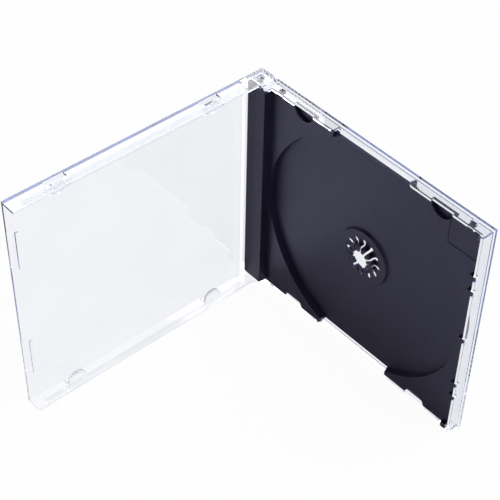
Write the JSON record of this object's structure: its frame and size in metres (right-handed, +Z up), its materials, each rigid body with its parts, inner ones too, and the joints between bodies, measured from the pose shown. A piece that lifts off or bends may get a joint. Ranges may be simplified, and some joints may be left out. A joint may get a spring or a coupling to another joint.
{
  "type": "cd jewel case",
  "caption": "Clear hinged case for one disc, standing open at a right angle, with a dark moulded tray that holds the disc on a sprung hub.",
  "frame": {"origin": "bottom centre of the bounding box, with the case standing on a long edge and opened to a right angle", "axes": "+Z up along the hinge; the back cover and its tray run along +X with their outer face at +Y; the front cover runs along -Y with its outer face at -X"},
  "size_m": [0.142, 0.142, 0.124],
  "materials": {
    "clear_plastic": "gloss",
    "dark_plastic": "satin"
  },
  "bodies": {
    "base": {"back_cover": "clear_plastic", "disc_tray": "dark_plastic"},
    "lid": {"front_cover": "clear_plastic"}
  },
  "joints": [
    {"name": "lid_hinge", "type": "hinge", "parent": "base", "child": "lid", "pos_m": [-0.0659, 0.0659, 0.062], "axis": [0, 0, 1], "range_deg": [-90, 90]}
  ]
}
